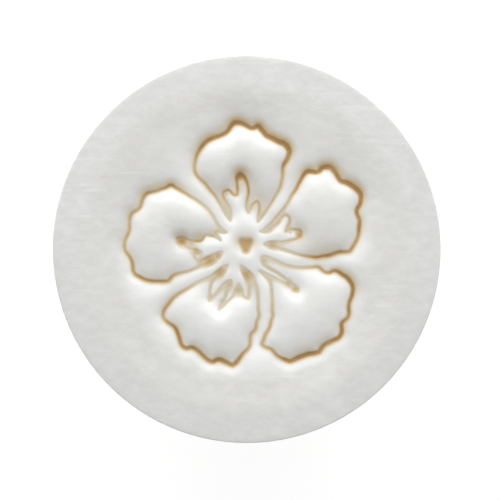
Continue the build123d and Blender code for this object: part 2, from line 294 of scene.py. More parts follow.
def stained_colour(tree, vector, ground):
    """The ground colour with the brown stain over it, by the mesh's own stain value and a little unevenness."""
    uneven = remap(tree, noise(tree, vector, 420.0, 3.0, 0.6), 0.3, 0.7, 0.86, 1.12)
    level = math_node(tree, "MULTIPLY", point_value(tree, "stain"), uneven, clamp=True)
    colour = mix_colour(tree, remap(tree, level, 0.0, 0.35), ground, HALO)
    colour = mix_colour(tree, remap(tree, level, 0.35, 0.7), colour, TAN)
    return mix_colour(tree, remap(tree, level, 0.7, 1.0), colour, BROWN), level


def clay_material():
    """Fired clay with faint clouds, mottle, smears and specks. The mesh's own values make it paler, in part as painted
    highlight, grey it as painted shade, and stain it.
    """
    material, tree, vector = new_material("clay")
    clouds = noise(tree, vector, 130.0, 4.0, 0.55)
    ground = mix_colour(tree, remap(tree, clouds, 0.35, 0.65), CLAY_DARK, CLAY_LIGHT)
    mottle = stretched_noise(tree, vector, (520, 900, 700), 3.0, 0.65, SMEAR_TURN)
    ground = mix_colour(tree, remap(tree, mottle, 0.36, 0.64, 0.0, 0.6), ground, CLAY_GREY)
    smears = remap(tree, stretched_noise(tree, vector, (55, 900, 300), 5.0, 0.65, SMEAR_TURN), 0.55, 0.68)
    smears = times(tree, smears, remap(tree, noise(tree, vector, 95.0, 2.0), 0.48, 0.60))
    ground = mix_colour(tree, times(tree, smears, 0.16), ground, CLAY_PALE_AND_HIGHLIGHT)
    specks = remap(tree, noise(tree, vector, 1700.0, 1.0), 0.76, 0.82, 0.0, 0.35)
    ground = mix_colour(tree, specks, ground, CLAY_SPECK)
    # Paler clay, in part painted highlight on slopes that face the lamp, then greyer clay that is painted shade
    ground = mix_colour(tree, point_value(tree, "pale_and_highlight"), ground, CLAY_PALE_AND_HIGHLIGHT)
    ground = mix_colour(tree, point_value(tree, "dull"), ground, CLAY_PAINTED_SHADE)
    colour, level = stained_colour(tree, vector, ground)
    grain = noise(tree, vector, 2600.0, 2.0, 0.6)
    waves = noise(tree, vector, 260.0, 2.0)
    relief = math_node(tree, "ADD", times(tree, grain, 0.18), times(tree, waves, 0.9))
    relief = math_node(tree, "SUBTRACT", relief, times(tree, smears, 0.12))
    rough = remap(tree, clouds, 0.3, 0.7, 0.385, 0.445)
    rough = math_node(tree, "ADD", rough, times(tree, level, 0.2))
    return finish_material(material, Base_Color=colour, Roughness=rough, Normal=bump(tree, relief, 0.00006))


def slip_material():
    """The same stain on a matte, fine-grained ground."""
    material, tree, vector = new_material("brown_slip")
    colour, _ = stained_colour(tree, vector, CLAY)
    normal = bump(tree, noise(tree, vector, 3500.0, 3.0, 0.7), 0.00003)
    rough = remap(tree, noise(tree, vector, 700.0), 0.3, 0.7, 0.48, 0.62)
    return finish_material(material, Base_Color=colour, Roughness=rough, Normal=normal)


def cement_material():
    material, tree, vector = new_material("cement")
    blotches = remap(tree, noise(tree, vector, 600.0, 5.0, 0.7), 0.35, 0.65)
    colour = mix_colour(tree, blotches, CEMENT_DARK, CEMENT_LIGHT)
    normal = bump(tree, noise(tree, vector, 2200.0, 4.0, 0.7), 0.00012)
    rough = remap(tree, noise(tree, vector, 900.0), 0.3, 0.7, 0.8, 0.95)
    return finish_material(material, Base_Color=colour, Roughness=rough, Normal=normal)


def rubber_material():
    """Black rubber, with clay dust in patches and on its worn edge."""
    material, tree, vector = new_material("rubber")
    patches = remap(tree, noise(tree, vector, 350.0, 4.0, 0.6), 0.45, 0.7)
    worn = times(tree, point_value(tree, "wear"), 0.3)
    dust = math_node(tree, "ADD", times(tree, patches, 0.25), worn, clamp=True)
    colour = mix_colour(tree, dust, RUBBER, RUBBER_DUST)
    normal = bump(tree, noise(tree, vector, 3000.0, 3.0, 0.7), 0.00004)
    rough = remap(tree, dust, 0.0, 0.5, 0.62, 0.85)
    return finish_material(material, Base_Color=colour, Roughness=rough, Normal=normal)


def metal_material(name, bright, dull, rough_low, rough_high, turn_marks):
    """A turned metal: fine marks round its axis, dulled patches and brighter worn edges."""
    material, tree, vector = new_material(name)
    rings = stretched_noise(tree, vector, (60, 60, turn_marks), 4.0, 0.7)
    tarnish = remap(tree, stretched_noise(tree, vector, (130, 130, 220), 6.0, 0.62), 0.30, 0.75)
    dull_share = math_node(tree, "SUBTRACT", tarnish, point_value(tree, "wear"), clamp=True)
    colour = mix_colour(tree, dull_share, bright, dull)
    spots = remap(tree, noise(tree, vector, 1500.0, 3.0, 0.6), 0.66, 0.74, 0.0, 0.4)
    colour = mix_colour(tree, times(tree, spots, dull_share), colour, dull)
    rough = remap(tree, rings, 0.3, 0.7, rough_low, rough_high)
    rough = math_node(tree, "ADD", rough, times(tree, dull_share, 0.12))
    normal = bump(tree, rings, 0.000010)
    return finish_material(material, Base_Color=colour, Roughness=rough, Normal=normal, Metallic=1.0)


def wood_material():
    """Oiled beech, turned along the grain: growth layers round a pith beside the axis, and short dark rays."""
    material, tree, vector = new_material("wood")
    bent = add_node(tree, "TexNoise", {"Vector": stretch(tree, vector, (45, 45, 14)), "Scale": 1.0, "Detail": 2.0})
    shift = vector_node(tree, "SUBTRACT", {0: bent.outputs["Color"], 1: (0.5, 0.5, 0.5)})
    shift = vector_node(tree, "SCALE", {0: shift, "Scale": BEECH_BEND})
    moved = vector_node(tree, "ADD", {0: vector, 1: shift})
    across = add_node(tree, "SeparateXYZ", {0: stretch(tree, moved, turn=BEECH_TILT)})
    x = math_node(tree, "ADD", across.outputs[0], -PITH_X)
    y = math_node(tree, "ADD", across.outputs[1], -PITH_Y)
    from_pith = math_node(tree, "SQRT", math_node(tree, "ADD", times(tree, x, x), times(tree, y, y)))
    phase = math_node(tree, "FRACT", times(tree, from_pith, LAYERS_TO_THE_METRE))
    late = times(tree, math_node(tree, "POWER", phase, 3.0), remap(tree, phase, 0.94, 1.0, 1.0, 0.0))
    fibre = stretched_noise(tree, vector, (2600, 2600, 130), 3.0, 0.6)
    dashes = remap(tree, stretched_noise(tree, moved, (3600, 3600, 520), 0.0), 0.66, 0.72)
    ray_patch = remap(tree, stretched_noise(tree, vector, (240, 240, 80), 2.0), 0.38, 0.58)
    rays = times(tree, dashes, ray_patch)
    broad = stretched_noise(tree, vector, (60, 60, 18), 3.0)
    wear = point_value(tree, "wear")
    grime = times(tree, wear, remap(tree, noise(tree, vector, 160.0, 4.0, 0.6), 0.3, 0.65, 0.35, 1.0))
    colour = mix_colour(tree, remap(tree, broad, 0.3, 0.7), BEECH_DARK, BEECH_LIGHT)
    colour = mix_colour(tree, times(tree, late, 0.70), colour, BEECH_LATE)
    colour = mix_colour(tree, remap(tree, fibre, 0.35, 0.75, 0.0, 0.30), colour, BEECH_FIBRE)
    colour = mix_colour(tree, times(tree, rays, 0.65), colour, BEECH_RAY)
    colour = mix_colour(tree, point_value(tree, "burn"), colour, BEECH_BURN)
    colour = mix_colour(tree, times(tree, grime, 0.5), colour, BEECH_GRIME)
    relief = math_node(tree, "SUBTRACT", times(tree, fibre, 0.6), times(tree, rays, 0.5))
    rough = math_node(tree, "SUBTRACT", remap(tree, fibre, 0.3, 0.7, 0.44, 0.58), times(tree, wear, 0.1))
    return finish_material(material, Base_Color=colour, Roughness=rough, Normal=bump(tree, relief, 0.00004))


def floor_material():
    """White paper. What shows of it glows near white, more so far off, and it keeps the object's shadow."""
    material, tree, vector = new_material("floor")
    fibres = remap(tree, noise(tree, vector, 900.0, 3.0), 0.3, 0.7, 0.97, 1.0)
    paper = add_node(tree, "BsdfDiffuse", {"Color": mix_colour(tree, fibres, PAPER_DARK, PAPER_LIGHT)})
    strength = remap(tree, vector_node(tree, "LENGTH", {0: vector}, "Value"), 0.2, 0.9, 1.08, 1.17)
    glow = add_node(tree, "Emission", {"Color": WHITE, "Strength": strength})
    share = times(tree, background_share(tree), 0.85)
    surface = add_node(tree, "MixShader", {0: share, 1: paper.outputs[0], 2: glow.outputs[0]})
    add_node(tree, "OutputMaterial", {"Surface": surface.outputs[0]})
    return material


# -------------------------------- mesh helpers
def new_object(name, vertices, faces, material, values=None):
    """A smooth-shaded mesh object. Vertices are in millimetres, and values holds point attributes by name."""
    mesh = bpy.data.meshes.new(name)
    mesh.from_pydata((np.asarray(vertices, float) * MM).tolist(), [], faces)
    for key, numbers in (values or {}).items():
        attribute = mesh.attributes.new(key, "FLOAT", "POINT")
        attribute.data.foreach_set("value", np.asarray(numbers, np.float32))
    shell = bmesh.new()
    shell.from_mesh(mesh)
    bmesh.ops.recalc_face_normals(shell, faces=shell.faces)
    shell.to_mesh(mesh)
    shell.free()
    mesh.polygons.foreach_set("use_smooth", [True] * len(mesh.polygons))
    mesh.materials.append(material)
    made = bpy.data.objects.new(name, mesh)
    bpy.context.scene.collection.objects.link(made)
    return made


def keep_edges_sharp(made, degrees):
    """Splits the shading where two faces meet at more than this angle."""
    made.data.set_sharp_from_angle(angle=math.radians(degrees))
    return made


def arc(centre, radius, start, end, steps):
    """Points of a circular arc in the (r, z) plane, between two angles in degrees."""
    angles = np.radians(np.linspace(start, end, steps + 1))
    return [(centre[0] + radius * math.cos(a), centre[1] + radius * math.sin(a)) for a in angles]


def hermite(start, end, start_tangent, end_tangent, steps):
    """A smooth run between two points of the (r, z) plane. The tangents give directions only."""
    start, end = np.array(start), np.array(end)
    chord = np.linalg.norm(end - start)
    first = np.array(start_tangent) / np.linalg.norm(start_tangent) * chord
    last = np.array(end_tangent) / np.linalg.norm(end_tangent) * chord
    t = np.linspace(0, 1, steps + 1)[:, None]
    points = (start * (2 * t**3 - 3 * t**2 + 1) + first * (t**3 - 2 * t**2 + t)
              + end * (3 * t**2 - 2 * t**3) + last * (t**3 - t**2))
    return [tuple(point) for point in points]


def even_steps(start, end, step):
    """Numbers from start to end, evenly spaced at about this step."""
    count = max(1, round(abs(end - start) / step))
    return [start + (end - start) * i / count for i in range(count + 1)]


def lathe_mesh(profile, segments, closed=False, cut=None):
    """Vertices and faces turned from a list of (r, z). cut gives the radius at an angle from (radius, z, angle)."""
    vertices, faces, rings = [], [], []
    for radius, z in profile:
        if radius < 1e-6:
            rings.append([len(vertices)] * segments)
            vertices.append((0.0, 0.0, z))
            continue
        rings.append(list(range(len(vertices), len(vertices) + segments)))
        for k in range(segments):
            angle = 2 * math.pi * k / segments
            r = cut(radius, z, angle) if cut else radius
            vertices.append((r * math.cos(angle), r * math.sin(angle), z))
    pairs = zip(rings, rings[1:] + rings[:1]) if closed else zip(rings, rings[1:])
    for ring, above in pairs:
        for k in range(segments):
            n = (k + 1) % segments
            face = [ring[k], ring[n], above[n], above[k]]
            face = [v for i, v in enumerate(face) if v != face[i - 1]]
            if len(face) > 2:
                faces.append(face)
    return vertices, faces


def lathe(name, profile, material, segments=128, values=None, closed=False, cut=None, sharp=40):
    """A turned piece. values gives, for a name, a function of (r, z) for its point attribute."""
    vertices, faces = lathe_mesh(profile, segments, closed, cut)
    numbers = {key: [rule(math.hypot(x, y), z) for x, y, z in vertices] for key, rule in (values or {}).items()}
    return keep_edges_sharp(new_object(name, vertices, faces, material, numbers), sharp)


def near(value, target, width):
    """1 at the target, falling to 0 at this width from it."""
    return max(0.0, 1.0 - abs(value - target) / width)


def smooth_step(value, low, high):
    t = np.clip((value - low) / (high - low), 0, 1)
    return t * t * (3 - 2 * t)


def body_piece(made, body, node):
    """Lets a piece ride on its body, and hides the CAD node that it stands for."""
    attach(made, body)
    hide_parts(node)


# -------------------------------- flower lines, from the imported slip
GRID_STEP = 0.04
GRID_REACH = 21.76
MEMBRANE_LEVELS = ((8, 160), (4, 160), (2, 60), (1, 60))
TOP_FACES = 0.01


def outline_segments(node):
    """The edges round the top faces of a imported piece, as an array of (x0, y0, x1, y1) in millimetres."""
    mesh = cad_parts[node].data
    points = np.array([v.co for v in mesh.vertices]) / MM
    top = points[:, 2].max()
    places = {}
    key = [places.setdefault(tuple(np.round(p[:2], 4)), len(places)) for p in points]
    corners = np.array(list(places))
    uses = {}
    for polygon in mesh.polygons:
        loop = list(polygon.vertices)
        if min(points[v, 2] for v in loop) < top - TOP_FACES:
            continue
        for a, b in zip(loop, loop[1:] + loop[:1]):
            edge = (min(key[a], key[b]), max(key[a], key[b]))
            uses[edge] = uses.get(edge, 0) + 1
    edges = np.array([edge for edge, count in uses.items() if count == 1 and edge[0] != edge[1]])
    return np.hstack([corners[edges[:, 0]], corners[edges[:, 1]]])


grid_line = np.arange(-GRID_REACH, GRID_REACH + GRID_STEP / 2, GRID_STEP)
grid_count = len(grid_line)
grid_x, grid_y = np.meshgrid(grid_line, grid_line)
grid_r = np.hypot(grid_x, grid_y)


def inside_mask(segments):
    """True at the grid points inside the outlines, by the even-odd rule. Rows are y and columns are x."""
    toggles = np.zeros((grid_count, grid_count + 1), np.int32)
    for x0, y0, x1, y1 in segments:
        if y0 > y1:
            x0, y0, x1, y1 = x1, y1, x0, y0
        first = int(math.ceil((y0 + GRID_REACH) / GRID_STEP))
        last = int(math.ceil((y1 + GRID_REACH) / GRID_STEP))
        for row in range(first, last):
            share = (grid_line[row] - y0) / (y1 - y0)
            column = int(math.ceil((x0 + (x1 - x0) * share + GRID_REACH) / GRID_STEP))
            toggles[row, column] += 1
    return np.cumsum(toggles, axis=1)[:, :-1] % 2 == 1


def edge_distance(segments, reach):
    """Distance from each grid point to the nearest outline, up to reach."""
    field = np.full((grid_count, grid_count), reach)
    for x0, y0, x1, y1 in segments:
        lo_x = int((min(x0, x1) - reach + GRID_REACH) / GRID_STEP)
        hi_x = int((max(x0, x1) + reach + GRID_REACH) / GRID_STEP) + 2
        lo_y = int((min(y0, y1) - reach + GRID_REACH) / GRID_STEP)
        hi_y = int((max(y0, y1) + reach + GRID_REACH) / GRID_STEP) + 2
        x = grid_line[None, lo_x:hi_x] - x0
        y = grid_line[lo_y:hi_y, None] - y0
        dx, dy = x1 - x0, y1 - y0
        share = np.clip((x * dx + y * dy) / max(dx * dx + dy * dy, 1e-12), 0, 1)
        part = np.hypot(x - share * dx, y - share * dy)
        window = field[lo_y:hi_y, lo_x:hi_x]
        np.minimum(window, part, out=window)
    return field


def membrane(held, reach):
    """A field that is 1 on the held points and dies away from them over the reach, smooth between them."""
    reach = np.broadcast_to(reach, held.shape)
    field = None
    for size, passes in MEMBRANE_LEVELS:
        count = grid_count // size
        block = held[:count * size, :count * size].reshape(count, size, count, size).any((1, 3))
        if field is None:
            field = block.astype(float)
        else:
            field = np.repeat(np.repeat(field, 2, 0), 2, 1)[:count, :count]
            gap = count - len(field)
            field = np.pad(field, ((0, gap), (0, gap)), mode="edge")
        local_reach = reach[size // 2:count * size:size, size // 2:count * size:size]
        stiffness = (4 + (GRID_STEP * size / local_reach) ** 2)[1:-1, 1:-1]
        for _ in range(passes):
            field[block] = 1.0
            beside = field[:-2, 1:-1] + field[2:, 1:-1] + field[1:-1, :-2] + field[1:-1, 2:]
            field[1:-1, 1:-1] = beside / stiffness
        field[block] = 1.0
    whole = np.zeros((grid_count, grid_count))
    whole[:len(field), :len(field)] = field
    return whole


def blurred(field, width):
    """The field with a Gaussian blur of this width."""
    waves = np.fft.fftfreq(grid_count, GRID_STEP)
    fall = np.exp(-2 * (np.pi * width * waves) ** 2)
    return np.fft.ifft2(np.fft.fft2(field) * fall[:, None] * fall[None, :]).real


def outer_loops(segments):
    """True at the grid points inside the outlines that lie in no other outline."""
    def ends(k):
        return tuple(np.round(segments[k, :2], 5)), tuple(np.round(segments[k, 2:], 5))
    meeting = {}
    for k in range(len(segments)):
        for place in ends(k):
            meeting.setdefault(place, []).append(k)
    left = set(range(len(segments)))
    loops = []
    while left:
        k = left.pop()
        loop = [k]
        place = ends(k)[1]
        while True:
            following = [n for n in meeting[place] if n in left]
            if not following:
                break
            k = following[0]
            left.remove(k)
            loop.append(k)
            place = ends(k)[1] if ends(k)[0] == place else ends(k)[0]
        loops.append(segments[loop])
    masks = [inside_mask(loop) for loop in loops]
    whole = [mask for i, mask in enumerate(masks)
             if not any(j != i and (mask & other).sum() > 0.9 * mask.sum() and other.sum() > mask.sum()
                        for j, other in enumerate(masks))]
    return np.logical_or.reduce(whole)


def face_distance(pixel_x, pixel_y):
    """Distance of the grid points from a place in the photograph, in millimetres."""
    x = (pixel_x + 0.5 - FACE_CENTRE_PX[0]) * px_mm
    y = (FACE_CENTRE_PX[1] - pixel_y - 0.5) * px_mm
    return np.hypot(grid_x - x, grid_y - y)


def spots(places):
    """The highest of soft round spots, each given as (pixel x, pixel y, radius in millimetres, level)."""
    field = np.zeros_like(grid_x)
    for pixel_x, pixel_y, radius, level in places:
        field = np.maximum(field, level * np.exp(-(face_distance(pixel_x, pixel_y) / radius) ** 2))
    return field


LINE_HALF = 0.15
EDGE_REACH = 1.8
line_segments = outline_segments("flower_line_inlay")
dot_segments = outline_segments("centre_dot_inlay")
on_line = inside_mask(line_segments)
on_dot = inside_mask(dot_segments)
line_edge = edge_distance(line_segments, EDGE_REACH)
from_line = np.where(on_line, LINE_HALF - np.minimum(line_edge, LINE_HALF), LINE_HALF + line_edge)
dot_edge = edge_distance(dot_segments, EDGE_REACH)
from_dot = np.where(on_dot, -dot_edge, dot_edge)
marked = on_line | on_dot
in_petal = outer_loops(line_segments)

# -------------------------------- relief of the face
# Depths below the face's rim: soft valleys along the lines, petals that puff up between them, a sunk star, the
# narrow cut itself, a shallow dish over the whole and one deeper spot low in the top petal. Round the shallow
# places, given in the photograph's pixels, the valleys and the puffs are weaker.
VALLEY_DEPTH = 0.76
PETAL_REACH = 1.45
STAR_REACH = 0.55
REACH_GAIN = 1.30
REACH_RING = (5.0, 12.0)
PUFF_HEIGHT = 0.42
PUFF_REACH = 3.2
STAR_SINK = 0.72
STAR_RING = (4.0, 14.0)
CUT_DEPTH = 0.03
CUT_HALF = 0.30
DOT_DEPTH = 0.06
DOT_SLOPE = (-0.3, 0.5)
SOFTNESS = 0.45
DISH_DEPTH = 0.17
PIT_DEPTH = 0.50
PIT_PLACE = (-0.3, 5.6)
PIT_RADIUS = 2.4
PIT_REACH = 0.8
PIT_SOFTNESS = 0.15
FLAT_RING = (17.9, 21.7)
SLOPE_SOFTNESS = 0.15
SHALLOW_SHARE = 0.22
SHALLOW_RADIUS = 2.6
SHALLOW_PUFF = 1.6
SHALLOW_PLACES = [
    (150, 281), (170, 281), (305, 256), (325, 256), (345, 250), (185, 343), (200, 353), (218, 360), (235, 361),
    (280, 356), (300, 358), (320, 350), (336, 339), (346, 322),
]

shallow = spots([(pixel_x, pixel_y, SHALLOW_RADIUS, SHALLOW_SHARE) for pixel_x, pixel_y in SHALLOW_PLACES])
ground_reach = STAR_REACH + REACH_GAIN * smooth_step(grid_r, *REACH_RING)
valley = membrane(marked, np.where(in_petal, PETAL_REACH, ground_reach))
star_sink = np.where(in_petal, 0.0, STAR_SINK * (1 - smooth_step(grid_r, *STAR_RING)))
puff = np.where(in_petal, 1 - membrane(marked, PUFF_REACH), 0.0)
sunk = VALLEY_DEPTH * (1 - shallow) * (valley + star_sink * (1 - valley))
relief = blurred(sunk - PUFF_HEIGHT * (1 - SHALLOW_PUFF * shallow) * puff, SOFTNESS)
relief += CUT_DEPTH * (1 - smooth_step(from_line, 0.0, CUT_HALF)) + DOT_DEPTH * (1 - smooth_step(from_dot, *DOT_SLOPE))
pit = np.exp(-(np.hypot(grid_x - PIT_PLACE[0], grid_y - PIT_PLACE[1]) / PIT_RADIUS) ** 2)
relief += PIT_DEPTH * pit * blurred(np.where(in_petal, 1 - membrane(marked, PIT_REACH), 0.0), PIT_SOFTNESS)
relief += DISH_DEPTH
relief *= 1 - smooth_step(grid_r, *FLAT_RING)
face_height = FACE_Z - relief
slope_y, slope_x = np.gradient(blurred(face_height, SLOPE_SOFTNESS), GRID_STEP)

# -------------------------------- stain, paler clay with painted highlight, and painted shade
# The slip lies thick on the petals' outer edges and thin towards the middle, hazes the slopes beside the lines,
# and pools in the narrow wedges and at the tongues' tips. The haze is heavier and wider on the slopes turned from
# the lamp, which is painted shade. Weights and levels are shares of full brown, and places are in the
# photograph's pixels.
LINE_WEIGHTS = [
    (238, 123, 1.45), (205, 144, 1.45), (194, 168, 0.85), (212, 195, 1.10), (288, 150, 1.65), (282, 180, 0.80),
    (265, 205, 0.95), (330, 168, 1.50), (360, 197, 1.55), (359, 222, 1.35), (350, 250, 1.15), (320, 256, 1.35),
    (283, 250, 0.80), (303, 178, 1.45), (280, 215, 0.95), (340, 275, 1.30), (313, 267, 0.85), (284, 264, 0.60),
    (352, 285, 1.40), (350, 314, 1.30), (330, 343, 1.50), (304, 358, 1.65), (268, 348, 1.00), (272, 308, 1.05),
    (266, 279, 0.65), (163, 312, 0.95), (178, 294, 1.00), (205, 278, 0.55), (175, 333, 1.40), (200, 353, 1.35),
    (222, 361, 1.50), (250, 338, 0.95), (258, 305, 0.65), (252, 278, 0.70), (172, 187, 1.10), (192, 198, 0.85),
    (212, 216, 0.60), (141, 200, 1.00), (128, 228, 0.85), (124, 250, 0.90), (131, 271, 1.20), (158, 281, 1.20),
    (185, 271, 0.85), (210, 262, 0.70), (225, 232, 0.45), (226, 265, 0.55), (241, 267, 0.60), (259, 268, 0.55),
    (264, 244, 0.50), (260, 230, 0.50), (229, 218, 0.50), (219, 309, 0.40), (295, 289, 0.80), (242, 177, 1.35),
    (294, 231, 1.05), (272, 283, 0.40), (180, 240, 0.85),
]
POOLS = [
    (240, 176, 0.80, 1.00), (242, 184, 0.65, 0.55), (249, 190, 0.40, 0.50), (181, 240, 0.90, 0.92),
    (190, 243, 0.55, 0.55), (195, 250, 0.70, 0.66), (197.5, 251.5, 0.55, 0.60), (298, 231.5, 0.50, 0.75),
    (299.5, 234.5, 0.60, 0.90), (290, 232, 0.35, 0.45), (295, 289, 0.60, 0.72), (288, 283, 0.60, 0.60),
    (208, 259, 1.30, 0.82), (217, 255, 0.70, 0.75), (200, 262, 0.60, 0.62), (246, 275, 1.20, 0.82),
    (219, 271, 1.20, 0.70), (272, 244, 1.00, 0.70), (264, 260, 0.55, 0.58), (227, 206, 0.95, 0.42),
    (249, 207, 0.60, 0.42), (269, 228, 0.95, 0.45), (229, 284, 1.00, 0.54), (238, 290, 0.80, 0.56),
    (210, 297, 0.55, 0.55), (222, 301, 0.45, 0.50), (225, 193, 0.50, 0.45), (236, 192, 0.40, 0.35),
]
# Painted shade: greyer clay beside the tongues and inside the right petal's upper edge
PAINTED_SHADE_PLACES = [
    (222, 192, 0.95, 0.50), (240, 184, 0.90, 0.65), (255, 202, 1.40, 0.60), (228, 201, 1.20, 0.40),
    (295, 172, 1.60, 0.30), (243, 196, 1.20, 0.35), (263, 204, 1.20, 0.45), (241, 190, 0.70, 0.50),
    (190, 246, 1.00, 0.35),
]
# A thin wash of slip round the tongues' tips, partly stain and partly painted shade
SHADES = [
    (243, 196, 3.00, 0.14), (257, 203, 1.60, 0.18), (240, 171, 0.90, 0.30), (181, 236, 0.80, 0.20),
    (199, 237, 0.90, 0.36), (212, 234, 0.90, 0.26), (318, 250, 2.20, 0.12), (300, 236, 1.00, 0.25),
]
WEIGHT_SPREAD = 1.9
MIDDLE_RING = (6.0, 12.0)
MIDDLE_WEIGHT = 0.72
CORE_WIDTH = 0.25
CORE_POWER = 0.35
CORE_LEVEL = 0.72
FADE_FROM = 1.1
FADE_TO = 1.9
LEE_SLOPES = (-0.15, 0.30)
LEE_TURN = 0.1
HAZE_POWER = 1.5
PETAL_HAZE = ((0.03, 0.25), (0.50, 0.48))
GROUND_HAZE = ((0.20, 0.45), (0.52, 0.40))
MIDDLE_HAZE = 0.62
SLIVER_LEVEL = 0.40
DOT_LEVEL = 0.80
DOT_EDGE = (-0.20, 0.60)
DOT_HAZE = 0.46
DOT_HAZE_WIDTH = 0.60
BELOW_DOT_CUT = 0.75

outward = smooth_step(grid_r, *MIDDLE_RING)
weight_sum, share_sum = np.zeros_like(relief), np.full_like(relief, 1e-9)
for pixel_x, pixel_y, weight in LINE_WEIGHTS:
    share = np.exp(-(face_distance(pixel_x, pixel_y) / WEIGHT_SPREAD) ** 2) + 1e-6
    weight_sum += weight * share
    share_sum += share
line_weight = weight_sum / share_sum * (MIDDLE_WEIGHT + (1 - MIDDLE_WEIGHT) * outward)
core = np.exp(-(from_line / (CORE_WIDTH * line_weight ** CORE_POWER)) ** 2)
fade = 1 - smooth_step(from_line, FADE_FROM, FADE_TO)
# Slopes turned from the lamp, where the haze is heavier as painted shade
shaded_slope = smooth_step(slope_y + LEE_TURN * slope_x, *LEE_SLOPES)


def haze_field(level, width):
    """Haze beside the lines, heavier and wider on the slopes turned from the lamp as painted shade. Level and width are
    each given as a value in the light and its gain in the shade.
    """
    return (level[0] + level[1] * shaded_slope) * np.exp(-(from_line / (width[0] + width[1] * shaded_slope)) ** HAZE_POWER)


ground_haze = haze_field(*GROUND_HAZE) * (MIDDLE_HAZE + (1 - MIDDLE_HAZE) * outward)
haze = np.where(in_petal, haze_field(*PETAL_HAZE), ground_haze)
close_by = membrane(marked, 0.5)
sliver = smooth_step(close_by, 0.60, 0.92) * in_petal
in_wedge = in_petal * smooth_step(membrane(marked, 0.7), 0.42, 0.76)
pool = spots(POOLS) * np.maximum(blurred(in_wedge, 0.08), smooth_step(close_by, 0.50, 0.88))
below_dot = (1 - smooth_step(grid_y, -0.9, 0.6)) * (1 - smooth_step(from_dot, 1.0, 1.7))
dot_haze = DOT_HAZE * np.exp(-np.maximum(from_dot, 0) / DOT_HAZE_WIDTH) * (1 - BELOW_DOT_CUT * below_dot)
dot_stain = np.maximum(DOT_LEVEL * (1 - smooth_step(from_dot, *DOT_EDGE)), dot_haze)
# The washes of SHADES are part stain and part painted shade
stain = line_weight * (CORE_LEVEL * core + haze * fade) + spots(SHADES) * in_petal
stain = np.clip(np.maximum.reduce([stain, pool, SLIVER_LEVEL * sliver, dot_stain]), 0, 1)

# Painted paler: the star and its strips and the petals, the lower petals most, and as painted highlight the slopes that
# face up the picture, to the lamp
lit_slope_highlight = smooth_step(-slope_y, 0.02, 0.24) * np.exp(-from_line / 2.4) * fade
star = 1 - smooth_step(grid_r, 11.0, 18.0)
star_pale_and_highlight = star * (0.42 + 0.58 * smooth_step(-slope_y, -0.03, 0.07))
petal_pale_and_highlight = 0.12 + 0.17 * smooth_step(-grid_y, -2.0, 4.0) + 0.35 * lit_slope_highlight
pale_and_highlight = np.where(in_petal, petal_pale_and_highlight, np.maximum(star_pale_and_highlight, lit_slope_highlight)) * (1 - core)

# -------------------------------- stamp head
FINE, MIDDLE, COARSE, OPEN = 2, 4, 8, 16
FINE_REACH = 0.42
MIDDLE_REACH = 0.95
SEAM = 0.3
RIM_GAP = 0.4
FAR = 9.0
# Of these fields, dull is painted shade and the paler one is in part painted highlight
FIELDS = {
    "stain": (stain, 0.0), "pale_and_highlight": (pale_and_highlight, 0.0), "dull": (spots(PAINTED_SHADE_PLACES), 0.0),
    "from_line": (from_line, FAR), "from_dot": (from_dot, FAR),
}


def face_points():
    """The face's vertices, and the fields at them: close together near the lines, wider apart on the plain clay, and
    last of all the ring at the rim. Beyond the grid each field has its own value for plain clay."""
    nearest = np.minimum(from_line, np.abs(from_dot))
    wanted = np.zeros((grid_count, grid_count), bool)
    places = ((FINE, nearest < FINE_REACH), (MIDDLE, nearest < MIDDLE_REACH), (COARSE, grid_r < GRID_REACH - SEAM))
    for step, here in places:
        wanted[::step, ::step] |= here[::step, ::step]
    line = np.arange(-FACE_RADIUS, FACE_RADIUS, OPEN * GRID_STEP)
    x, y = (v.ravel() for v in np.meshgrid(line, line))
    r = np.hypot(x, y)
    keep = (r > GRID_REACH) & (r < FACE_RADIUS - FACE_EDGE - RIM_GAP)
    angles = 2 * np.pi * np.arange(HEAD_SEGMENTS) / HEAD_SEGMENTS
    rim = FACE_RADIUS - FACE_EDGE
    x = np.concatenate([grid_x[wanted], x[keep], rim * np.cos(angles)])
    y = np.concatenate([grid_y[wanted], y[keep], rim * np.sin(angles)])
    beyond = (0, len(x) - wanted.sum())
    z = np.pad(face_height[wanted], beyond, constant_values=FACE_Z)
    values = {key: np.pad(field[wanted], beyond, constant_values=plain) for key, (field, plain) in FIELDS.items()}
    return np.stack([x, y, z], 1), values


face_vertices, face_values = face_points()
face_plan = [Vector(point) for point in face_vertices[:, :2].tolist()]
found_points, _, face_triangles, *_ = delaunay_2d_cdt(face_plan, [], [], 0, 1e-7)
assert len(found_points) == len(face_plan)


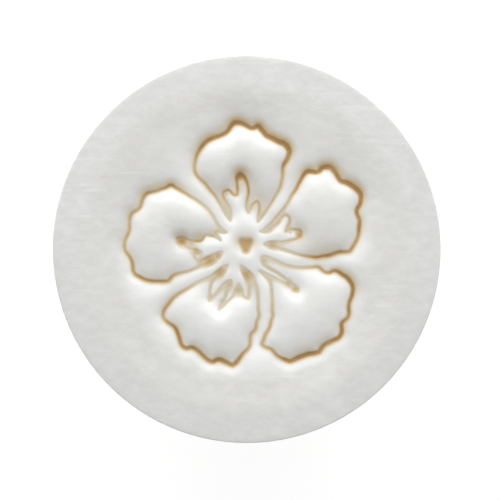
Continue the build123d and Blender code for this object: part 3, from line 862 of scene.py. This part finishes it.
def head_profile():
    """The head's outline from its rim edge round the back and into the socket, as (r, z)."""
    points = arc((FACE_RADIUS - FACE_EDGE, FACE_Z - FACE_EDGE), FACE_EDGE, 90, 0, 5)
    points += [(FACE_RADIUS, z) for z in np.linspace(FACE_Z - FACE_EDGE - 0.6, BACK_Z + BACK_EDGE + 0.6, 8)]
    turn = math.degrees(math.atan2(BACK_RISE, FACE_RADIUS - BOSS_RADIUS - COVE_RADIUS))
    reach = BACK_EDGE * math.tan(math.radians(90 - turn) / 2)
    points += arc((FACE_RADIUS - BACK_EDGE, BACK_Z + reach), BACK_EDGE, 0, turn - 90, 8)
    start = points[-1]
    end = (BOSS_RADIUS + COVE_RADIUS, BOSS_TOP + COVE_RADIUS)
    points += [(start[0] + (end[0] - start[0]) * t, start[1] + (end[1] - start[1]) * t) for t in (0.25, 0.5, 0.75)]
    points += arc((BOSS_RADIUS + COVE_RADIUS, BOSS_TOP), COVE_RADIUS, 90, 180, 12)
    points += [(BOSS_RADIUS, z) for z in np.linspace(BOSS_TOP - 0.5, HEAD_SEAT + BOSS_EDGE + 0.1, 4)]
    points += arc((BOSS_RADIUS - BOSS_EDGE, HEAD_SEAT + BOSS_EDGE), BOSS_EDGE, 0, -90, 5)
    points += arc((RECESS_RADIUS + RECESS_EDGE, HEAD_SEAT + RECESS_EDGE), RECESS_EDGE, 270, 180, 3)
    points += [(RECESS_RADIUS, CUSHION_TOP), (SOCKET_RADIUS, CUSHION_TOP), (SOCKET_RADIUS, SOCKET_TOP), (0, SOCKET_TOP)]
    return points


# The first turned ring is the face's own rim ring, so the turned faces share its vertices
turned_vertices, turned_faces = lathe_mesh(head_profile(), HEAD_SEGMENTS)
rim_start = len(face_vertices) - HEAD_SEGMENTS
head_vertices = np.vstack([face_vertices, turned_vertices[HEAD_SEGMENTS:]])
head_faces = [list(face) for face in face_triangles] + [[v + rim_start for v in face] for face in turned_faces]
turned_count = len(head_vertices) - len(face_vertices)
head_values = {key: np.pad(face_values[key], (0, turned_count)) for key in ("stain", "pale_and_highlight", "dull")}
stamp_head = new_object("stamp_head_clay", head_vertices, head_faces, clay_material(), head_values)
keep_edges_sharp(stamp_head, 60)
body_piece(stamp_head, "head", "stamp_head")

# Slip in the lines and in the dot: closed ribbons that lie in the bottom of the cut
SLIP_RISE = 0.008
SLIP_THICKNESS = 0.06
slip = slip_material()


def slip_piece(name, field, reach, node):
    """A closed ribbon over the face triangles whose corners are all within reach, its edges sunk in the clay."""
    taken = face_values[field] < reach
    faces = [face for face in face_triangles if all(taken[v] for v in face)]
    used = sorted({v for face in faces for v in face})
    index = {v: i for i, v in enumerate(used)}
    uses = {}
    for face in faces:
        for a, b in zip(face, face[1:] + face[:1]):
            uses.setdefault((min(a, b), max(a, b)), []).append((a, b))
    border = [pair[0] for pair in uses.values() if len(pair) == 1]
    at_border = {v for pair in border for v in pair}
    count = len(used)
    upper = face_vertices[used]
    lower = upper - (0, 0, SLIP_THICKNESS)
    upper[:, 2] += [-SLIP_RISE if v in at_border else SLIP_RISE for v in used]
    triangles = [[index[v] for v in face] for face in faces]
    triangles += [[index[v] + count for v in reversed(face)] for face in faces]
    triangles += [[index[b], index[a], index[a] + count, index[b] + count] for a, b in border]
    level = np.tile(face_values["stain"][used], 2)
    made = new_object(name, np.vstack([upper, lower]), triangles, slip, {"stain": level})
    body_piece(made, "head", node)


slip_piece("flower_line_slip", "from_line", LINE_HALF, "flower_line_inlay")
slip_piece("centre_dot_slip", "from_dot", 0.0, "centre_dot_inlay")


# -------------------------------- cement, insert and cushion
def thread_share(pitch, z, angle):
    """How deep a right-hand thread is cut at a height and an angle: 0 on its crest and 1 at its root."""
    phase = (z / pitch - angle / (2 * math.pi)) % 1.0
    return min(1.0, max(0.0, (abs(phase - 0.5) * 2 - THREAD_CREST) / THREAD_FLANKS))


cement_profile = [
    (CEMENT_INNER, CUSHION_TOP), (CEMENT_OUTER, CUSHION_TOP), (CEMENT_OUTER, CEMENT_TOP - CEMENT_EDGE),
    (CEMENT_OUTER - CEMENT_EDGE, CEMENT_TOP), (0, CEMENT_TOP),
]
cement_profile += [(0, INSERT_TOP + HAIRLINE), (CEMENT_INNER, INSERT_TOP + HAIRLINE), (CEMENT_INNER, CUSHION_TOP)]
cement = lathe("cement_bed", cement_profile, cement_material(), 96)
body_piece(cement, "head", "socket_cement")

brass = metal_material("brass", BRASS_BRIGHT, BRASS_DULL, 0.26, 0.38, 9000.0)
bore_root = BORE_RADIUS - THREAD_DEPTH


def bore_cut(radius, z, angle):
    """The insert's knurled outside, and its thread, cut off by the mouth's chamfer."""
    if radius > INSERT_RADIUS - 0.01 and CUSHION_TOP + KNURL_MARGIN < z < INSERT_TOP - KNURL_MARGIN:
        return radius - KNURL_DEPTH * (0.5 + 0.5 * math.cos(KNURL_COUNT * angle))
    if bore_root - 0.01 < radius < INSERT_RADIUS - 0.5 and z < BORE_TOP - 0.01:
        return max(radius, BORE_RADIUS - THREAD_DEPTH * thread_share(THREAD_PITCH, z, angle))
    return radius


insert_profile = [
    (0, INSERT_TOP), (INSERT_RADIUS - INSERT_TOP_EDGE, INSERT_TOP), (INSERT_RADIUS, INSERT_TOP - INSERT_TOP_EDGE),
]
insert_profile += [(INSERT_RADIUS, z) for z in even_steps(INSERT_TOP - 0.5, CUSHION_TOP + 0.5, 0.5)]
insert_profile += [(INSERT_RADIUS, CUSHION_TOP + INSERT_FOOT_EDGE), (INSERT_RADIUS - INSERT_FOOT_EDGE, CUSHION_TOP)]
insert_profile += [(max(bore_root, BORE_RADIUS + BORE_CHAMFER - (z - CUSHION_TOP)), z)
                   for z in even_steps(CUSHION_TOP, BORE_TOP - THREAD_ROW, THREAD_ROW)]
insert_profile += [(bore_root, BORE_TOP), (0, BORE_TOP)]
insert = lathe("insert_brass", insert_profile, brass, THREAD_SEGMENTS, cut=bore_cut, sharp=50)
body_piece(insert, "head", "threaded_insert")

outer, inner = CUSHION_OUTER - CUSHION_EDGE, CUSHION_INNER + CUSHION_BORE_EDGE
cushion_profile = arc((outer, FERRULE_TOP + CUSHION_EDGE), CUSHION_EDGE, -90, 0, 4)
cushion_profile += arc((outer, CUSHION_TOP - CUSHION_EDGE), CUSHION_EDGE, 0, 90, 4)
cushion_profile += arc((inner, CUSHION_TOP - CUSHION_BORE_EDGE), CUSHION_BORE_EDGE, 90, 180, 2)
cushion_profile += arc((inner, FERRULE_TOP + CUSHION_BORE_EDGE), CUSHION_BORE_EDGE, 180, 270, 2)
cushion = lathe("cushion_rubber", cushion_profile, rubber_material(), 128, closed=True,
                values={"wear": lambda r, z: near(r, CUSHION_OUTER, CUSHION_EDGE)})
body_piece(cushion, "cushion", "cushion_ring")

# -------------------------------- stud
steel = metal_material("steel", STEEL_BRIGHT, STEEL_DULL, 0.22, 0.34, 7000.0)


def stud_cut(radius, z, angle):
    """Machine thread above the neck and wood thread below it, both running out at the neck."""
    if z > FERRULE_TOP - 0.01:
        ease = smooth_step(z, FERRULE_TOP + 0.1, FERRULE_TOP + 1.1)
        return min(radius, THREAD_RADIUS - THREAD_DEPTH * ease * thread_share(THREAD_PITCH, z, angle))
    if z < NECK_BOTTOM - 0.01:
        ease = smooth_step(z, NECK_BOTTOM - 0.3, NECK_BOTTOM - 2.0)
        depth = min(WOOD_THREAD_DEPTH, 0.3 * radius)
        return radius - depth * ease * thread_share(WOOD_PITCH, z, angle) ** 0.5
    return radius


tip_top = STUD_BOTTOM + TIP_LENGTH
stud_profile = [(0, STUD_BOTTOM), (TIP_RADIUS, STUD_BOTTOM)]
stud_profile += [(TIP_RADIUS + (THREAD_RADIUS - TIP_RADIUS) * (z - STUD_BOTTOM) / TIP_LENGTH, z)
                 for z in even_steps(STUD_BOTTOM + 0.2, tip_top, WOOD_ROW)]
stud_profile += [(THREAD_RADIUS, z) for z in even_steps(tip_top + WOOD_ROW, NECK_BOTTOM, WOOD_ROW)]
stud_profile += [(NECK_RADIUS, z) for z in even_steps(NECK_BOTTOM, FERRULE_TOP, 0.6)]
stud_profile += [(min(THREAD_RADIUS, THREAD_RADIUS - STUD_CHAMFER + (STUD_TOP - z)), z)
                 for z in even_steps(FERRULE_TOP, STUD_TOP, THREAD_ROW)]
stud_profile += [(0, STUD_TOP)]
stud = lathe("stud_steel", stud_profile, steel, THREAD_SEGMENTS, cut=stud_cut, sharp=50,
             values={"wear": lambda r, z: smooth_step(r, 2.8, 3.0) * 0.8})
body_piece(stud, "handle", "stud")

# -------------------------------- ferrule and its pins
bead_z = COLLAR_Z + BEAD_RADIUS
edge_z = FERRULE_TOP - FERRULE_EDGE
ferrule_profile = [(FERRULE_INNER, COLLAR_Z)] + arc((FERRULE_OUTER, bead_z), BEAD_RADIUS, -90, 88, 10)
ferrule_profile += [(FERRULE_OUTER, COLLAR_Z + 2 * BEAD_RADIUS + 0.03)]
ferrule_profile += [(FERRULE_OUTER, z) for z in even_steps(COLLAR_Z + 1.6, edge_z - 0.3, 1.0)]
ferrule_profile += arc((FERRULE_OUTER - FERRULE_EDGE, edge_z), FERRULE_EDGE, 0, 90, 6)
ferrule_profile += [(r, FERRULE_TOP) for r in (9.0, 6.0, 3.3)]
ferrule_profile += [(FERRULE_HOLE, FERRULE_TOP - FERRULE_HOLE_EDGE), (FERRULE_HOLE, TENON_TOP)]
ferrule_profile += [(FERRULE_INNER, TENON_TOP)]


def ferrule_wear(r, z):
    """Bright where hands rub it: the top edge and the bead."""
    return max(near(z, FERRULE_TOP, 0.5) * near(r, FERRULE_OUTER, 1.0), near(r, FERRULE_OUTER + BEAD_RADIUS, 0.25))


ferrule = lathe("ferrule_brass", ferrule_profile, brass, 160, closed=True, sharp=50, values={"wear": ferrule_wear})
body_piece(ferrule, "handle", "ferrule")

dome = (PIN_HEAD_RADIUS**2 + PIN_HEAD_HEIGHT**2) / (2 * PIN_HEAD_HEIGHT)
dome_turn = math.degrees(math.asin(PIN_HEAD_RADIUS / dome))
dome_centre = FERRULE_OUTER + PIN_HEAD_HEIGHT - dome
pin_profile = [(0, FERRULE_OUTER - PIN_LENGTH), (PIN_RADIUS, FERRULE_OUTER - PIN_LENGTH), (PIN_RADIUS, FERRULE_OUTER)]
pin_profile += arc((0, dome_centre), dome, 90 - dome_turn, 90, 6)[:-1] + [(0, FERRULE_OUTER + PIN_HEAD_HEIGHT)]
pin_vertices, pin_faces = lathe_mesh(pin_profile, 32)
pin_points = np.array(pin_vertices)
up = np.array([0, 0, 1])
pins_vertices, pins_faces = [], []
for k in range(PIN_COUNT):
    angle = 2 * math.pi * k / PIN_COUNT
    out = np.array([math.cos(angle), math.sin(angle), 0])
    side = np.array([-math.sin(angle), math.cos(angle), 0])
    start = len(pins_vertices)
    placed = pin_points[:, 2:3] * out + pin_points[:, 0:1] * side + pin_points[:, 1:2] * up + PIN_Z * up
    pins_vertices += placed.tolist()
    pins_faces += [[v + start for v in face] for face in pin_faces]
pins_wear = {"wear": [0.6] * len(pins_vertices)}
pins = keep_edges_sharp(new_object("ferrule_pins_brass", pins_vertices, pins_faces, brass, pins_wear), 50)
body_piece(pins, "handle", "ferrule_pins")

# -------------------------------- turned handle
land_z = COLLAR_Z - COLLAR_BREAK - COLLAR_LAND
smooth_run = hermite((FOOT_RADIUS, 0), (KNOB_RADIUS, KNOB_Z), (1, 0), (0, 1), 60)
smooth_run += hermite((KNOB_RADIUS, KNOB_Z), (WAIST_RADIUS, WAIST_Z), (0, 1), (0, 1), 60)[1:]
smooth_run += hermite((WAIST_RADIUS, WAIST_Z), (COLLAR_RADIUS, land_z), (0, 1), (1, 1), 24)[1:]
run_r, run_z = np.array(smooth_run).T
line_heights = [KNOB_Z - LINE_SPACING / 2, KNOB_Z + LINE_SPACING / 2]
heights = [z for z in run_z if all(abs(z - line) > LINE_WIDTH for line in line_heights)]
for line in line_heights:
    heights += even_steps(line - LINE_WIDTH + 0.05, line + LINE_WIDTH - 0.05, 0.06)


def line_cut(z):
    """Depth of the two scribed lines at a height, with slightly rounded lips."""
    share = max(near(z, line, LINE_WIDTH / 2) for line in line_heights)
    return LINE_DEPTH * (share - LINE_LIP * math.sin(math.pi * share))


def handle_burn(r, z):
    """Dark in the two scribed lines, which are burnt in with a wire."""
    return max(near(z, line, 0.42) for line in line_heights) ** 0.6 if r > 17 else 0.0


def handle_wear(r, z):
    """Darkened by hands: most at the waist, then the collar, and a little at the knob."""
    return max(0.9 * near(z, 36, 9), near(z, 43.2, 0.9), 0.35 * near(z, 12.5, 9))


stud_hole = THREAD_RADIUS + HAIRLINE
handle_profile = [(r, 0) for r in (0, 4, 9, 13)]
handle_profile += [(float(np.interp(z, run_z, run_r)) - line_cut(z), z) for z in sorted(heights)]
handle_profile += [(COLLAR_RADIUS, land_z + 0.3), (COLLAR_RADIUS, COLLAR_Z - COLLAR_BREAK - 0.3)]
handle_profile += arc((COLLAR_RADIUS - COLLAR_BREAK, COLLAR_Z - COLLAR_BREAK), COLLAR_BREAK, 0, 90, 5)
handle_profile += [
    (TENON_RADIUS, COLLAR_Z), (TENON_RADIUS, TENON_TOP - TENON_CHAMFER), (TENON_RADIUS - TENON_CHAMFER, TENON_TOP),
    (stud_hole, TENON_TOP), (stud_hole, tip_top), (TIP_RADIUS + HAIRLINE, STUD_BOTTOM - HAIRLINE),
    (0, STUD_BOTTOM - HAIRLINE),
]
handle = lathe("handle_beech", handle_profile, wood_material(), 192, sharp=35,
               values={"burn": handle_burn, "wear": handle_wear})
body_piece(handle, "handle", "handle")

# -------------------------------- floor, light and background
FLOOR_HALF = 3.0
floor_corners = [(x * FLOOR_HALF, y * FLOOR_HALF, 0) for x, y in ((-1, -1), (1, -1), (1, 1), (-1, 1))]
floor_mesh = bpy.data.meshes.new("floor")
floor_mesh.from_pydata(floor_corners, [], [(0, 1, 2, 3)])
floor_mesh.materials.append(floor_material())
floor = bpy.data.objects.new("floor", floor_mesh)
bpy.context.scene.collection.objects.link(floor)

# Lamps: azimuth and elevation in degrees, distance and size in metres, power in watts
KEY = (91, 38, 0.54, 0.41, 3.88)
FILL_ELEVATION = -4
FILL_DISTANCE = 0.7
FILL_SIZE = 0.25
FILLS = ((-135, 1.4), (-45, 1.4), (45, 0.9), (135, 0.9))
SKY_LIGHT = 0.24


def area_lamp(name, azimuth, elevation, distance, size, power):
    """A square lamp that looks at the middle of the face."""
    azimuth, elevation = math.radians(azimuth), math.radians(elevation)
    data = bpy.data.lights.new(name, "AREA")
    data.shape = "SQUARE"
    data.size = size
    data.energy = power
    lamp = bpy.data.objects.new(name, data)
    flat = math.cos(elevation)
    out = Vector((math.cos(azimuth) * flat, math.sin(azimuth) * flat, math.sin(elevation)))
    lamp.location = Vector((0, 0, FACE_Z * MM)) + out * distance
    lamp.rotation_mode = "QUATERNION"
    lamp.rotation_quaternion = out.to_track_quat("Z", "Y")
    bpy.context.scene.collection.objects.link(lamp)


area_lamp("key", *KEY)
for azimuth, power in FILLS:
    area_lamp(f"fill_{azimuth % 360}", azimuth, FILL_ELEVATION, FILL_DISTANCE, FILL_SIZE, power)

world = bpy.data.worlds.new("world")
bpy.context.scene.world = world
world.use_nodes = True
sky = world.node_tree
sky.nodes.clear()
strength = remap(sky, background_share(sky), 0.0, 1.0, SKY_LIGHT, 1.0)
background = add_node(sky, "Background", {"Color": WHITE, "Strength": strength})
add_node(sky, "OutputWorld", {"Surface": background.outputs[0]})
